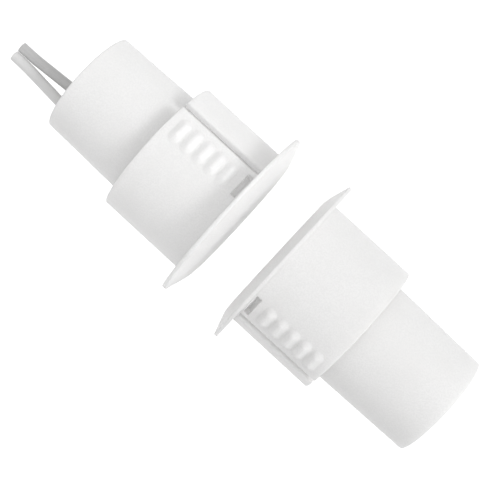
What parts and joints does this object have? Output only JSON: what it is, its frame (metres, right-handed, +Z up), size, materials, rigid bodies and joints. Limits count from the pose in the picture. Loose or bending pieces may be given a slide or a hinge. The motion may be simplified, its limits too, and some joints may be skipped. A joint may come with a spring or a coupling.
{
  "type": "recessed magnetic contact",
  "caption": "Recessed door contact pair: a flanged plug with a reed switch and leads faces a matching plug with a magnet. Slotted sleeves with barbs snap into round holes.",
  "frame": {"origin": "centre of the switch half's seat, the flat ring at the back of its flange where it meets the hole's rim, on the axis of the pair", "axes": "X along the axis of the pair: the switch half runs into its hole towards -X, and the magnet half, its face 6.2 mm in front of the switch half's face, runs into its hole towards +X. Z is up and Y sideways, with the pair's holes level."},
  "size_m": [0.0689, 0.025, 0.025],
  "materials": {
    "housing_plastic": "fine satin ABS moulding, near white",
    "capsule_glass": "clear, faint green, fused ends",
    "contact_metal": "plated nickel iron, satin",
    "tinned_wire": "tinned copper, dull bright",
    "solder": "smooth solder",
    "wire_sleeving": "thin natural sleeving",
    "shrink_tube": "black shrink tube, satin",
    "carrier_plastic": "natural moulded plastic",
    "lead_insulation_dark": "soft PVC, mid grey",
    "lead_insulation_light": "soft PVC, light grey",
    "potting": "cast resin, glossy",
    "magnet_alloy": "cast alnico, ground faces"
  },
  "bodies": {
    "root": {"switch_housing": "housing_plastic", "magnet_housing": "housing_plastic", "reed_capsule": "capsule_glass", "reed_blade_front": "contact_metal", "reed_blade_rear": "contact_metal", "return_wire": "tinned_wire", "return_sleeve": "wire_sleeving", "reed_carrier": "carrier_plastic", "front_solder_joint": "solder", "reed_solder_joint": "solder", "return_solder_joint": "solder", "reed_shrink_sleeve": "shrink_tube", "return_shrink_sleeve": "shrink_tube", "reed_lead_core": "tinned_wire", "return_lead_core": "tinned_wire", "reed_lead_insulation": "lead_insulation_dark", "return_lead_insulation": "lead_insulation_light", "switch_potting": "potting", "magnet_potting": "potting", "magnet": "magnet_alloy", "magnet_spacer": "carrier_plastic"}
  },
  "joints": []
}
